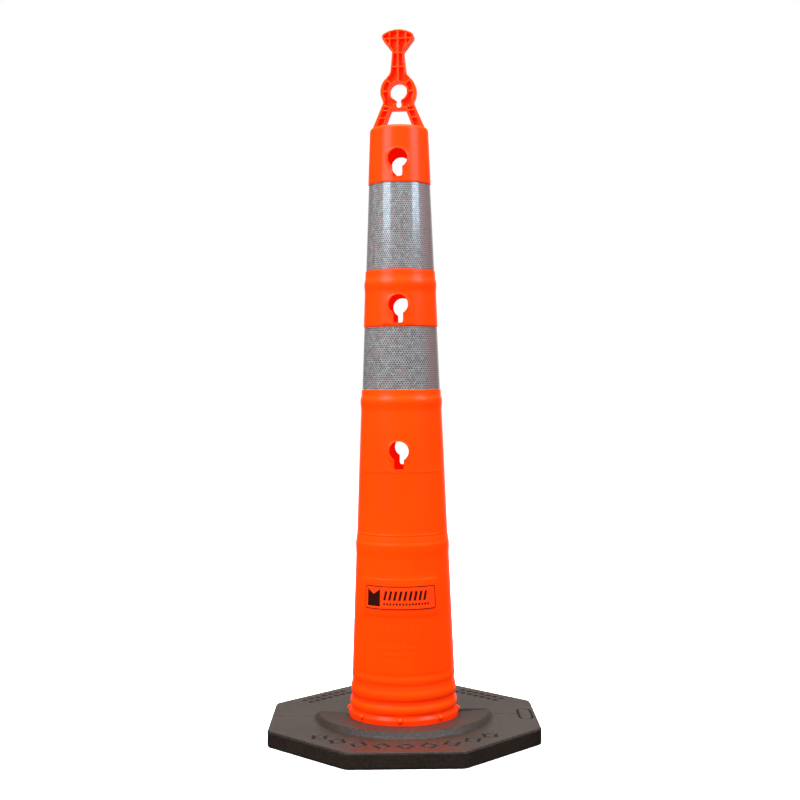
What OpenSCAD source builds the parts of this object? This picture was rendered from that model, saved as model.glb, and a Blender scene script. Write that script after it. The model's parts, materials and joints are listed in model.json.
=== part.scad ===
// Channelizer traffic cone: hollow ribbed shaft with a grab handle,
// two reflective collars and an octagonal rubber base made of two halves.
// Millimetres. Z is up, the floor is z = 0, the shaft's axis is x = y = 0.
// The keyholes and the handle face along Y.

/* [Overall] */
// Height of the tip of the handle above the floor
overall_height = 1248; // [1240:1:1256]
// Wall thickness of the moulded shaft
wall = 3.5; // [2.5:0.1:4.5]
// Turn of the base about the shaft at rest, in degrees
base_turn = 4.5; // [-22.5:0.5:22.5]

/* [Shaft] */
// Height of the top edge of the shaft
shaft_top = 1074; // [1040:1:1090]
// Outer radius of the shaft just below its top edge
shaft_top_r = 51.7; // [49:0.1:54]
// Outer radius of the shaft just above the foot ribs
shaft_low_r = 90.9; // [88:0.1:93]
// Height where the foot ribs start
rib_top = 119; // [116:0.5:124]
// Height of the lowest rib above its grooves; the ones above it are lower
rib_proud = 2.7; // [0.8:0.1:3]
// Outer radius of the round foot
foot_r = 97.3; // [96.5:0.1:99.5]
// Outer radius of the collar that the base holds down
collar_r = 108; // [104:0.5:110]
// Number of lugs round the foot
lug_count = 8; // [4:1:12]

/* [Keyholes] */
// Diameter of the round part of each keyhole
keyhole_d = 34; // [28:0.5:38]
// Width of the slot below it
keyhole_slot_w = 17; // [12:0.5:20]
// Distance from the round part's centre to the slot's lower end
keyhole_drop = 32; // [26:0.5:36]
// Height of the top keyhole
keyhole_top_z = 1015; // [1012:1:1020]
// Height of the middle keyhole
keyhole_mid_z = 760; // [757:1:762]
// Height of the low keyhole
keyhole_low_z = 505; // [440:1:540]

/* [Reflective collars] */
// Lower edge of the upper collar
upper_band_z = 821; // [818:1:830]
// Height of the upper collar
upper_band_h = 153; // [140:1:153]
// Lower edge of the lower collar
lower_band_z = 611; // [608:1:620]
// Height of the lower collar
lower_band_h = 111; // [95:1:111]
// Thickness of the reflective sheeting
band_t = 0.6; // [0.4:0.1:0.9]
// Depth of the seats that the sheeting lies in
band_seat = 1.9; // [1.1:0.1:2.2]

/* [Handle] */
// Thickness of the handle, front to back
handle_t = 22; // [16:0.5:24]
// Thickness of the web in the middle of the handle
web_t = 4; // [2.5:0.5:6]
// Width of the outer rail of the ring
edge_w = 5.2; // [4:0.1:5.6]
// Width of the ribs, and of the rails along the neck
rib_w = 2.6; // [2:0.1:3.2]
// Outer radius of the ring
ring_r = 31.8; // [31:0.1:33]
// Width of the outer rail of each leg
leg_rail_w = 4.2; // [3.4:0.1:5]
// Diameter of the hole through the ring
ring_hole_d = 31.4; // [30:0.2:34]
// Half the width of the fan-shaped head
head_half_w = 28; // [26:0.5:30]
// Turn of the handle about the shaft, in degrees
handle_turn = -3; // [-5:0.5:5]

/* [Base] */
// Width of the octagon across its flats
base_af = 473; // [440:1:520]
// Thickness of the base slab
slab_t = 28; // [26:0.5:32]
// Height of the outer edge of the raised half-round pad
pad_edge_z = 38; // [36:0.5:42]
// Height of the pad where it meets the foot
pad_foot_z = 33.6; // [33:0.1:35]
// Radius of the pad's upper edge
pad_r = 151; // [145:1:160]
// Clearance between the foot and the base
foot_gap = 1; // [0.6:0.1:1.5]
// Distance of the two tongues from the base's centre line
tongue_x = 160; // [145:1:170]
// Width of each tongue
tongue_w = 50; // [30:1:60]
// Length of each tongue
tongue_l = 62; // [40:1:80]

/* [Printed panel] */
// Width of the printed panel, measured straight across
panel_w = 124; // [100:1:130]
// Height of the printed panel
panel_h = 42; // [30:1:44]
// Height of the panel's centre above the floor
panel_z = 252; // [250:1:270]
// Thickness of the printed film
panel_t = 0.5; // [0.3:0.1:0.6]

/* [View] */
// Sub-part to draw, or all

/* [Hidden] */
$fn = 96;
big = 700;
orange = [1.0, 0.31, 0.0];
// Line of the shaft's outside, and the bulged step that shifts it out below step_z.
step_z = 345;
step_out = 0.7;
taper = (shaft_low_r - step_out - shaft_top_r) / (shaft_top - 7 - rib_top);
// Mouth of the shaft that the handle's plug sits in.
mouth_r = 43;
plug_gap = 0.2;
ledge_z = shaft_top - 16;
// Foot of the shaft.
foot_bottom = 5;
collar_top = 14;
foot_curve_z = 40;
rib_low = 48.5;
rib_pitch = (rib_top - rib_low) / 3;
foot_bore_r = foot_r + foot_gap;
lug_z = 42;
lug_r = 5.2;
lug_sunk = 1.9;
// Base.
half_gap = 0.4;
tongue_gap = 0.5;
tongue_z = 9;
tongue_t = 12;
mark_depth = 2.4;
corner_cut = 1.5;
pocket_depth = 4.5;
groove_r = collar_r + 1.2;
// Handle heights.
head_top = overall_height;
ring_z = overall_height - 109.2;
waist_z = ring_z - 21.8;
bar_z = ring_z - 30.7;
bar_w = 3.4;
leg_foot_z = shaft_top - 3;
leg_foot_x = 46;
leg_rest_z = shaft_top + 0.4;
leg_inside_x = 41;
waist_half = 27;
head_arc_r = 48;
// Cord slot under the ring.
slot_r = 5;
slot_z = ring_z - 22.2;
slot_neck_w = 7;

// Outer radius of the plain shaft at height z.
function shaft_r(z) = shaft_top_r + (shaft_top - 7 - z) * taper + (z < step_z ? step_out : 0);

// Smooth bump from 0 up to 1 and back, for t from 0 to 1, steeper at the top end.
function bump(t) = sin(180 * pow(t, 1.4));

// Outside of the shaft over one ring, from z = low up to z = low + h.
function ring_profile(low, h, proud) = [for (i = [0:12])
    [shaft_r(low + h * i / 12) + proud * bump(i / 12), low + h * i / 12]];

// Seat for a collar, from z = low up to z = low + h.
function seat_profile(low, h) = [
    [shaft_r(low), low],
    [shaft_r(low) - band_seat, low + 0.6],
    [shaft_r(low + h) - band_seat, low + h - 0.6],
    [shaft_r(low + h), low + h]];

// Outside of the foot: a wide collar inside the base, the round foot, then a soft
// shoulder in to the groove under the lowest rib.
function foot_profile() = concat(
    [[collar_r, foot_bottom], [collar_r, collar_top], [foot_r, collar_top], [foot_r, foot_curve_z]],
    [for (i = [1:7]) [foot_r - (foot_r - rib_r(rib_low)) * (1 - cos(22.5 * i)) / 2,
                      foot_curve_z + (rib_low - foot_curve_z) * i / 8]]);

// One foot rib from its groove up to the next, as a smooth wave.
function rib_r(z) = shaft_low_r - 1.2 + (rib_top - z) * 0.05;
function rib_profile(low, proud) = [for (i = [0:11])
    [rib_r(low + rib_pitch * i / 12) + proud * (1 - cos(30 * i)) / 2,
     low + rib_pitch * i / 12]];

// Rounded top edge of the shaft.
function top_profile() = [for (i = [0:6])
    [shaft_top_r - 5.6 * (1 - cos(15 * i)), shaft_top - 7 + 7 * sin(15 * i)]];

module shaft_blank() {
    outside = concat(
        foot_profile(),
        rib_profile(rib_low, rib_proud),
        rib_profile(rib_low + rib_pitch, rib_proud * 0.85),
        rib_profile(rib_low + 2 * rib_pitch, rib_proud * 0.6),
        [[shaft_r(rib_top), rib_top]],
        ring_profile(318, 40, 1.2),
        [[shaft_r(366), 366], [shaft_r(367) - 0.6, 367], [shaft_r(368.5), 368.5]],
        [[shaft_r(472), 472], [shaft_r(473) - 0.5, 473], [shaft_r(474.5), 474.5]],
        ring_profile(576, 28, 1.5),
        seat_profile(lower_band_z - 0.5, lower_band_h + 1),
        ring_profile(785, 26, 1.3),
        seat_profile(upper_band_z - 0.5, upper_band_h + 1),
        top_profile());
    inside = [
        [mouth_r, shaft_top],
        [mouth_r, ledge_z],
        [mouth_r - 4, ledge_z],
        [mouth_r - 4, ledge_z - 7],
        [shaft_r(ledge_z - 18) - wall, ledge_z - 17],
        [shaft_r(rib_top) - wall, rib_top],
        [foot_r - 11, 62],
        [foot_r - 8, 46],
        [foot_r - wall, 34],
        [foot_r - wall, foot_bottom]];
    rotate_extrude()
        polygon(concat(outside, inside));
}

// Round hole with a slot below it, cut straight through both walls.
module keyhole(z) {
    translate([0, 0, z])
        rotate([90, 0, 0])
            cylinder(d = keyhole_d, h = big, center = true);
    translate([-keyhole_slot_w / 2, -big / 2, z - keyhole_drop + 4])
        cube([keyhole_slot_w, big, keyhole_drop - 4]);
    translate([-keyhole_slot_w / 2 + 4, -big / 2, z - keyhole_drop])
        cube([keyhole_slot_w - 8, big, 6]);
    for (side = [-1, 1])
        translate([side * (keyhole_slot_w / 2 - 4), 0, z - keyhole_drop + 4])
            rotate([90, 0, 0])
                cylinder(r = 4, h = big, center = true, $fn = 32);
}

// Thin shell that follows the shaft's front, from inside its surface to t outside it.
module front_skin(low, high, t, w) {
    intersection() {
        rotate_extrude()
            polygon([
                [shaft_r(low) - 1, low],
                [shaft_r(low) + t, low],
                [shaft_r(high) + t, high],
                [shaft_r(high) - 1, high]]);
        translate([-w / 2, -big, low])
            cube([w, big, high - low]);
    }
}

// Plain raised bars that stand where a maker would mould a size mark.
module moulded_bars() {
    bar_low = 176;
    intersection() {
        rotate_extrude()
            polygon([
                [shaft_r(140) - 1, 140],
                [shaft_r(140) + 0.9, 140],
                [shaft_r(205) + 0.9, 205],
                [shaft_r(205) - 1, 205]]);
        union() {
            for (i = [-3:3])
                translate([i * 11 - 2, -big, bar_low])
                    cube([4, big, 22]);
            for (i = [-5:5])
                translate([i * 7 - 2, -big, bar_low - 14])
                    cube([4, big, 6]);
            for (i = [-4:4])
                translate([i * 7 - 2, -big, bar_low - 26])
                    cube([4, big, 6]);
        }
    }
}

module cone_shaft() {
    color(orange) {
        difference() {
            union() {
                shaft_blank();
                front_skin(panel_z - 31, panel_z + 31, 0.5, panel_w + 8);
                moulded_bars();
            }
            keyhole(keyhole_top_z);
            keyhole(keyhole_mid_z);
            keyhole(keyhole_low_z);
        }
        for (i = [0:lug_count - 1])
            rotate([0, 0, i * 360 / lug_count])
                translate([0, -foot_r + lug_sunk, lug_z])
                    sphere(r = lug_r, $fn = 48);
    }
}

// Outline of the fan-shaped head.
module head_outline() {
    intersection() {
        polygon([
            [-10.2, head_top - 42],
            [-10.2, head_top - 38.5],
            [-head_half_w, head_top - 15.5],
            [-head_half_w, head_top],
            [head_half_w, head_top],
            [head_half_w, head_top - 15.5],
            [10.2, head_top - 38.5],
            [10.2, head_top - 42]]);
        translate([0, head_top - head_arc_r])
            circle(r = head_arc_r, $fn = 160);
    }
}

module neck_outline() {
    polygon([
        [-10.2, head_top - 40],
        [10.2, head_top - 40],
        [13.6, ring_z + 35.2],
        [15.6, ring_z + 29.7],
        [23.5, ring_z + 21.7],
        [-23.5, ring_z + 21.7],
        [-15.6, ring_z + 29.7],
        [-13.6, ring_z + 35.2]]);
}

module leg_outline(side) {
    polygon([
        [side * 10, waist_z],
        [side * (waist_half + 0.3), waist_z + 1],
        [side * leg_foot_x, leg_rest_z],
        [side * leg_inside_x, leg_rest_z],
        [side * leg_inside_x, leg_foot_z],
        [side * 26.6, leg_foot_z],
        [side * 13, bar_z - 2.4],
        [side * 10, bar_z - 2]]);
}

module waist_outline() {
    polygon([
        [-waist_half - 0.6, waist_z + 6],
        [-waist_half, waist_z + 3],
        [-waist_half, waist_z],
        [-14, bar_z - 2],
        [14, bar_z - 2],
        [waist_half, waist_z],
        [waist_half, waist_z + 3],
        [waist_half + 0.6, waist_z + 6]]);
}

module handle_outline() {
    head_outline();
    neck_outline();
    translate([0, ring_z])
        circle(r = ring_r, $fn = 160);
    waist_outline();
    leg_outline(-1);
    leg_outline(1);
}

// Straight rail from one point to the other.
module rail(a, b, w) {
    run = b - a;
    translate(a)
        rotate([0, 0, atan2(run[1], run[0])])
            translate([-w / 2, -w / 2])
                square([norm(run) + w, w]);
}

// Rails round the edge of the head and neck, and the ribs across them.
module head_rails() {
    tip_x = head_half_w - rib_w / 2;
    neck_x = 10.2 - rib_w / 2;
    difference() {
        translate([0, head_top - head_arc_r])
            circle(r = head_arc_r, $fn = 160);
        translate([0, head_top - head_arc_r])
            circle(r = head_arc_r - 3.4, $fn = 160);
        translate([-60, head_top - 140])
            square([120, 125]);
    }
    for (side = [-1, 1]) {
        rail([side * tip_x, head_top - 8], [side * tip_x, head_top - 15.5], rib_w);
        rail([side * tip_x, head_top - 16.3], [side * neck_x, head_top - 39.3], rib_w);
        rail([side * neck_x, head_top - 39.3], [side * 12.4, ring_z + 35.2], rib_w);
        rail([side * 12.4, ring_z + 35.2], [side * 14.4, ring_z + 29.2], rib_w);
        rail([side * 14.4, ring_z + 29.2], [side * 21, ring_z + 22.7], rib_w);
        rail([side * 14.5, head_top - 3], [side * 14.5, head_top - 32], rib_w);
    }
    rail([0, head_top - 2], [0, ring_z + ring_r - 13], rib_w + 0.8);
    rail([-head_half_w + 1.5, head_top - 16.3], [head_half_w - 1.5, head_top - 16.3], rib_w);
    rail([-9, head_top - 41.5], [9, head_top - 41.5], rib_w);
    rail([-11, head_top - 66], [11, head_top - 66], rib_w);
}

// Rails round the ring, open at the top where the neck joins it, and radial ribs.
module ring_rails() {
    difference() {
        translate([0, ring_z])
            circle(r = ring_r, $fn = 160);
        translate([0, ring_z])
            circle(r = ring_r - edge_w, $fn = 160);
        translate([-13, ring_z])
            square([26, 40]);
        translate([-17, ring_z - 40])
            square([34, 20]);
    }
    difference() {
        translate([0, ring_z])
            circle(d = ring_hole_d + 2 * rib_w, $fn = 160);
        translate([0, ring_z])
            circle(d = ring_hole_d - 2, $fn = 160);
    }
    for (a = [0, 45, 135, 180])
        translate([0, ring_z])
            rotate([0, 0, a])
                translate([ring_hole_d / 2, -rib_w / 2])
                    square([ring_r - ring_hole_d / 2 - 1, rib_w]);
}

// Cross bar under the ring, rails along both legs and the ribs across them.
module leg_rails() {
    rail([-15, bar_z], [15, bar_z], bar_w);
    for (side = [-1, 1]) {
        rail([side * (waist_half - 1.8), waist_z + 8], [side * (waist_half - 2.6), waist_z], edge_w);
        rail([side * (waist_half - 1.6), waist_z + 1], [side * (leg_foot_x - 1.9), leg_rest_z], leg_rail_w);
        rail([side * 14.6, bar_z], [side * 28.5, leg_foot_z + 1], leg_rail_w - 0.7);
        rail([side * 11, bar_z + 1.5], [side * 23, bar_z + 4.5], rib_w);
        rail([side * 17, bar_z - 2], [side * 30, bar_z - 2], rib_w);
        rail([side * 21, bar_z - 16], [side * 36, bar_z - 16], rib_w);
        rail([side * 5, slot_z + 2], [side * 9, bar_z], rib_w);
    }
}

// Flat handle: a thin web with deep rails and ribs, on a round plug.
module grab_handle() {
    color(orange) rotate([0, 0, handle_turn]) {
        difference() {
            union() {
                rotate([90, 0, 0])
                    linear_extrude(height = web_t, center = true)
                        handle_outline();
                rotate([90, 0, 0])
                    linear_extrude(height = handle_t, center = true)
                        intersection() {
                            handle_outline();
                            union() {
                                head_rails();
                                ring_rails();
                                leg_rails();
                            }
                        }
            }
            translate([0, 0, ring_z])
                rotate([90, 0, 0])
                    cylinder(d = ring_hole_d, h = 60, center = true, $fn = 160);
            translate([-slot_neck_w / 2, -30, slot_z])
                cube([slot_neck_w, 60, 12]);
            translate([0, 0, slot_z])
                rotate([90, 0, 0])
                    cylinder(r = slot_r, h = 60, center = true, $fn = 48);
        }
        // Plug that fills the shaft's mouth and rests on the ledge.
        translate([0, 0, ledge_z + 0.2])
            cylinder(r = mouth_r - plug_gap, h = 13.8, $fn = 128);
    }
}

// Reflective sheeting wrapped once round the shaft, with its ends meeting at the back.
module band(low, h) {
    r0 = shaft_r(low) - band_seat + 0.1;
    r1 = shaft_r(low + h) - band_seat + 0.1;
    difference() {
        rotate_extrude()
            polygon([
                [r0, low + 0.7],
                [r0 + band_t, low + 0.7],
                [r1 + band_t, low + h - 0.7],
                [r1, low + h - 0.7]]);
        translate([-0.4, 0, low - 5])
            cube([0.8, big, h + 10]);
    }
}

module upper_reflective_band() {
    color([0.72, 0.72, 0.72])
        band(upper_band_z, upper_band_h);
}

module lower_reflective_band() {
    color([0.72, 0.72, 0.72])
        band(lower_band_z, lower_band_h);
}

module printed_panel() {
    low = panel_z - panel_h / 2;
    high = panel_z + panel_h / 2;
    color([0.15, 0.12, 0.1])
        intersection() {
            rotate_extrude()
                polygon([
                    [shaft_r(low) + 0.6, low],
                    [shaft_r(low) + 0.6 + panel_t, low],
                    [shaft_r(high) + 0.6 + panel_t, high],
                    [shaft_r(high) + 0.6, high]]);
            translate([-panel_w / 2, -big, low])
                cube([panel_w, big, panel_h]);
        }
}

// Octagonal slab with bevelled edges and softened corners.
module slab() {
    flat = 1 / cos(22.5);
    half = base_af / 2;
    intersection() {
        rotate([0, 0, 22.5]) {
            cylinder(r1 = (half - 2.5) * flat, r2 = half * flat, h = 2.5, $fn = 8);
            translate([0, 0, 2.5])
                cylinder(r = half * flat, h = slab_t - 5.5, $fn = 8);
            translate([0, 0, slab_t - 3])
                cylinder(r1 = half * flat, r2 = (half - 3) * flat, h = 3, $fn = 8);
        }
        cylinder(r = half * flat - corner_cut, h = slab_t);
    }
}

// Half-round pad with a dished top, in front of the parting line.
module pad() {
    intersection() {
        rotate_extrude()
            polygon([
                [foot_bore_r - 1, slab_t - 4],
                [pad_r + 10, slab_t - 4],
                [pad_r + 10, slab_t],
                [pad_r, pad_edge_z],
                [foot_bore_r - 1, pad_foot_z]]);
        translate([-big, -2 * big, 0])
            cube([2 * big, 2 * big, 100]);
    }
}

// Hole for the foot, with the groove that holds the collar.
module foot_bore() {
    translate([0, 0, -1])
        cylinder(r = foot_bore_r, h = 80, $fn = 160);
    translate([0, 0, foot_bottom - 0.4])
        cylinder(r = groove_r, h = collar_top - foot_bottom + 1, $fn = 160);
}

// Engraved outline of a square standing on its corner.
module diamond_mark() {
    rotate([0, 0, 45])
        difference() {
            translate([-12, -12, 0])
                cube([24, 24, 5]);
            translate([-7.5, -7.5, -1])
                cube([15, 15, 8]);
        }
}

// Plain engraved marks where a maker would mould a name: diamonds in front, dashes behind.
module front_marks() {
    for (i = [-4:4])
        rotate([0, 0, i * 11.5])
            translate([0, -200, slab_t - mark_depth])
                diamond_mark();
}

module rear_marks() {
    for (side = [-1, 1])
        rotate([0, 0, side * 45])
            for (row = [0:1])
                for (i = [-3:3])
                    translate([i * 16 - 5, 190 + row * 17, slab_t - mark_depth])
                        cube([10, 9, 5]);
}

// Long engraved loop near the edge, crossed by the parting line.
module edge_mark() {
    translate([base_af / 2 - 19.5, 0, slab_t - mark_depth])
        difference() {
            union() {
                translate([-13, -24, 0])
                    cube([26, 48, 5]);
                for (end = [-1, 1])
                    translate([0, end * 24, 0])
                        cylinder(r = 13, h = 5, $fn = 48);
            }
            translate([-9.5, -24, -1])
                cube([19, 48, 8]);
            for (end = [-1, 1])
                translate([0, end * 24, -1])
                    cylinder(r = 9.5, h = 8, $fn = 48);
        }
}

// Shallow pocket in the rear half, behind the pad's right end, to pry the halves apart.
module pry_pocket() {
    translate([foot_bore_r - 3, -1, slab_t - pocket_depth])
        cube([pad_r - foot_bore_r + 3, 41, 10]);
}

module base_front_half() {
    color([0.2, 0.17, 0.16])
        rotate([0, 0, base_turn])
            difference() {
                intersection() {
                    union() {
                        slab();
                        pad();
                    }
                    translate([-big, -2 * big - half_gap / 2, -1])
                        cube([2 * big, 2 * big, 100]);
                }
                foot_bore();
                front_marks();
                edge_mark();
                for (side = [-1, 1])
                    translate([side * tongue_x - tongue_w / 2 - tongue_gap, -tongue_l - 2, tongue_z - tongue_gap])
                        cube([tongue_w + 2 * tongue_gap, tongue_l + 10, tongue_t + 2 * tongue_gap]);
            }
}

module base_rear_half() {
    color([0.2, 0.17, 0.16])
        rotate([0, 0, base_turn]) {
            difference() {
                intersection() {
                    slab();
                    translate([-big, half_gap / 2, -1])
                        cube([2 * big, 2 * big, 100]);
                }
                foot_bore();
                rear_marks();
                edge_mark();
                pry_pocket();
            }
            for (side = [-1, 1])
                translate([side * tongue_x - tongue_w / 2, -tongue_l, tongue_z])
                    cube([tongue_w, tongue_l + 6, tongue_t]);
        }
}

cone_shaft();
grab_handle();
upper_reflective_band();
lower_reflective_band();
printed_panel();
base_front_half();
base_rear_half();
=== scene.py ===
import json
import math
import bmesh
import bpy
import numpy as np
from mathutils import Matrix, Vector
from mathutils.geometry import tessellate_polygon


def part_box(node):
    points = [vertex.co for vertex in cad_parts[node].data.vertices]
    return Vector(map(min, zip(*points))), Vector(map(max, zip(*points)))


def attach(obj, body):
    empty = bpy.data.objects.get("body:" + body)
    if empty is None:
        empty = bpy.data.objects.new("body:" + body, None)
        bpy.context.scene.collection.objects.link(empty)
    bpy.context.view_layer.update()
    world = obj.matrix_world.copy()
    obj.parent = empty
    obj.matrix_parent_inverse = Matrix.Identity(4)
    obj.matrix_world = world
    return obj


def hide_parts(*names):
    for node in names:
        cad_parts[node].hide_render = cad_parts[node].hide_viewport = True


# The visual model of a channelizer cone: hollow ribbed shaft, ribbed grab handle, two
# reflective collars, a printed panel and a rubber base in two halves. Shapes are worked
# out in millimetres round the shaft's axis and scaled to metres when a mesh is made.

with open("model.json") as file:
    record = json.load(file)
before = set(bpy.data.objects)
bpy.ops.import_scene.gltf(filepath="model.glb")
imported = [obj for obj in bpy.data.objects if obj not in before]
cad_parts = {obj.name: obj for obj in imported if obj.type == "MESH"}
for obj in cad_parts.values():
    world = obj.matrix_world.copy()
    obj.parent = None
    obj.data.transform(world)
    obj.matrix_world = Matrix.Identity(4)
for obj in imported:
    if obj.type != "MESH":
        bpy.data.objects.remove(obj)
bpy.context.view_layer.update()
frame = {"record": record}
MM = 0.001


def box_mm(node):
    """Lowest and highest corners of a CAD node, in millimetres."""
    low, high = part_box(node)
    return [v / MM for v in low], [v / MM for v in high]


# -------- sizes from the frame
MOUNTS = {m["name"]: m for m in frame["record"]["mounts"]}
SHAFT_LOW, SHAFT_HIGH = box_mm("cone_shaft")
SHAFT_TOP = SHAFT_HIGH[2]
FOOT_BOTTOM = SHAFT_LOW[2]
COLLAR_R = SHAFT_HIGH[0]
HEAD_TOP = box_mm("grab_handle")[1][2]
RING_Z = MOUNTS["handle_ring"]["pos_m"][2] / MM
RING_HOLE_R = MOUNTS["handle_ring"]["dims"]["r_mm"]
HANDLE_HALF = MOUNTS["handle_ring"]["dims"]["length_mm"] / 2
KEYHOLE_R = MOUNTS["keyhole_low"]["dims"]["r_mm"]
KEYHOLES = [MOUNTS["keyhole_" + level]["pos_m"][2] / MM for level in ("low", "middle", "top")]
BANDS = {level: [corner[2] for corner in box_mm(level + "_reflective_band")]
         for level in ("upper", "lower")}
PANEL_LOW, PANEL_HIGH = box_mm("printed_panel")
PANEL_HALF = (PANEL_HIGH[0] - PANEL_LOW[0]) / 2
PANEL_MIDDLE = (PANEL_LOW[2] + PANEL_HIGH[2]) / 2
SLAB_TOP = box_mm("base_rear_half")[1][2]
PAD_EDGE_Z = box_mm("base_front_half")[1][2]

# -------- sizes of the shaft
TOP_R = 51.7
LOW_R = 90.9
WALL = 3.5
TOP_CURVE = 7.0
SHOULDER_Z = SHAFT_TOP - TOP_CURVE
# Ribs: the grooves' heights, how far each rib stands out, and the line the grooves lie on.
RIB_EDGES = (48.5, 71.5, 99.0, 122.0)
RIB_PROUD = (2.5, 2.1, 1.4)
RIB_POWER = 0.85
RIB_LOW = RIB_EDGES[0]
RIB_TOP = 119.0
RIB_SUNK = 1.2
RIB_SLOPE = 0.05
FOOT_R = 97.3
FOOT_CURVE_Z = 40.0
COLLAR_TOP = 14.0
STEP_Z = 345.0
STEP_OUT = 0.7
TAPER = (LOW_R - STEP_OUT - TOP_R) / (SHOULDER_Z - RIB_TOP)
MOUTH_R = 43.0
LEDGE_Z = SHAFT_TOP - 16
BAND_SEAT = 1.9
BAND_T = 0.6
BAND_GAP_HALF = 0.5
BAND_MEAN_R = 62.0
CELL_PITCH = 4.3
# Raised rings: lower edge, height, how far they stand out, and how near the top they peak.
RINGS = ((318, 40, 1.2, 1.2), (574, 26, 1.6, 1.6), (781, 26, 1.5, 1.5))
# Fine moulding lines: height, and how far they stand out; and their half-width.
LINES = ((359.0, 0.4), (468.5, 0.4))
LINE_HALF = 1.5
# Raised field behind the printed panel.
FIELD_LIFT = 0.5
FIELD_LOW, FIELD_HIGH = PANEL_LOW[2] - 11, PANEL_HIGH[2] + 11
FIELD_HALF = PANEL_HALF + 4
# Keyholes' slots, and the lugs round the foot.
SLOT_HALF = 8.5
SLOT_DROP = 32.0
SLOT_CORNER = 4.0
LUGS = 8
LUG_Z = 42.0
LUG_R = 5.2
LUG_SUNK = 1.9
# Points round the shaft, and the window of points over each keyhole.
COLUMNS = 240
WINDOW_ROWS = 36
WINDOW_BELOW = 37.0
WINDOW_ABOVE = 20.5
WINDOW_HALF = 27.0
LEAST_SPACING = 0.25

# -------- sizes of the base
BASE_TURN = math.radians(4.5)
BASE_AF = 473.0
CORNER_R = 254.5
BORE_R = FOOT_R + 1
GROOVE_R = 109.2
PAD_R = 151.0
PAD_FOOT_Z = 33.6
HALF_GAP = 0.4
TONGUE_X = 160.0
TONGUE_W = 50.0
TONGUE_L = 62.0
TONGUE_Z = (9.0, 21.0)
TONGUE_ROOM = 0.5
PRY_WIDE = 41.0
PRY_DEEP = 4.5
CHAMFER = 1.1
# Engraved marks: how deep, and the places and sizes of the squares, the dashes and the loop.
MARK_DEPTH = 2.4
SQUARES_R = 200.0
SQUARES_STEP = math.radians(11.5)
SQUARE_REACH = 13.8
SQUARE_LINE = 2.7
DASH_STEP = 16.0
DASH_HALF = (5.0, 4.5)
DASH_ROWS = (194.5, 211.5)
LOOP_X = BASE_AF / 2 - 19.5
LOOP_HALF = 24.0
LOOP_R = 11.25
LOOP_LINE = 1.75


# ======== mesh helpers
def make_object(name, points_mm, faces, turn=0.0, sharp=40.0):
    """A smooth-shaded object from points in millimetres, with outward normals."""
    mesh = bpy.data.meshes.new(name)
    mesh.from_pydata((np.asarray(points_mm, float) * MM).tolist(), [], faces)
    cleaned = bmesh.new()
    cleaned.from_mesh(mesh)
    bmesh.ops.delete(cleaned, geom=[v for v in cleaned.verts if not v.link_faces], context="VERTS")
    bmesh.ops.recalc_face_normals(cleaned, faces=cleaned.faces)
    cleaned.to_mesh(mesh)
    cleaned.free()
    if turn:
        mesh.transform(Matrix.Rotation(turn, 4, "Z"))
    mesh.shade_smooth()
    mesh.set_sharp_from_angle(angle=math.radians(sharp))
    thing = bpy.data.objects.new(name, mesh)
    bpy.context.scene.collection.objects.link(thing)
    return thing


def apply_modifiers(thing):
    """Turns the modifiers' result into the object's own mesh."""
    evaluated = thing.evaluated_get(bpy.context.evaluated_depsgraph_get())
    mesh = bpy.data.meshes.new_from_object(evaluated)
    thing.modifiers.clear()
    thing.data = mesh
    mesh.shade_smooth()


def grid_faces(rows, cols, wrap_rows=False, wrap_cols=False):
    """Quads of a rows x cols grid of points numbered row by row, as an (n, 4) array,
    and the row and column of each quad."""
    j, k = np.meshgrid(np.arange(rows if wrap_rows else rows - 1),
                       np.arange(cols if wrap_cols else cols - 1), indexing="ij")
    j, k = j.ravel(), k.ravel()
    j2, k2 = (j + 1) % rows, (k + 1) % cols
    return np.stack([j * cols + k, j * cols + k2, j2 * cols + k2, j2 * cols + k], 1), j, k


def quads_of(rows, cols, **wrap):
    """The same quads as a plain list."""
    return [tuple(q) for q in grid_faces(rows, cols, **wrap)[0].tolist()]


def capped_stack(points, around):
    """Faces of closed rings of as many points each, stacked in order and closed at both ends."""
    return (quads_of(len(points) // around, around, wrap_cols=True)
            + [tuple(range(around)), tuple(range(len(points) - around, len(points)))])


def revolved(r, z, angles):
    """Points round the axis row by row, from columns of radii and heights; 0 is the front."""
    x, y = r * np.sin(angles), -r * np.cos(angles)
    return np.stack([x, y, np.broadcast_to(z, x.shape)], -1).reshape(-1, 3)


def strip(a, b):
    """Quads between two closed rings of the same number of points."""
    count = len(a)
    return [(a[i], a[(i + 1) % count], b[(i + 1) % count], b[i]) for i in range(count)]


def add_parts(points, faces, parts):
    """Adds (points, faces) pairs to a mesh's lists."""
    for more_points, more_faces in parts:
        start = len(points)
        points += more_points
        faces += [tuple(start + i for i in f) for f in more_faces]


def smooth(x, low, high):
    """Runs from 0 at low to 1 at high along an S curve."""
    t = np.clip((np.asarray(x, float) - low) / (high - low), 0, 1)
    return t * t * (3 - 2 * t)


# ======== shaft
def shaft_r(z):
    """Radius of the plain taper, with its step."""
    return TOP_R + (SHOULDER_Z - z) * TAPER + STEP_OUT * (1 - smooth(z, STEP_Z - 3, STEP_Z + 1))


def rib_r(z):
    """Radius of the ribs above the foot."""
    wave = np.interp(z, RIB_EDGES, range(len(RIB_EDGES)))
    proud = np.interp(wave, (0.5, 1.5, 2.5), RIB_PROUD)
    lean = (wave % 1) ** RIB_POWER
    return (LOW_R - RIB_SUNK + (RIB_TOP - z) * RIB_SLOPE
            + proud * ((1 - np.cos(2 * math.pi * lean)) / 2) ** RIB_POWER)


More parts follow.
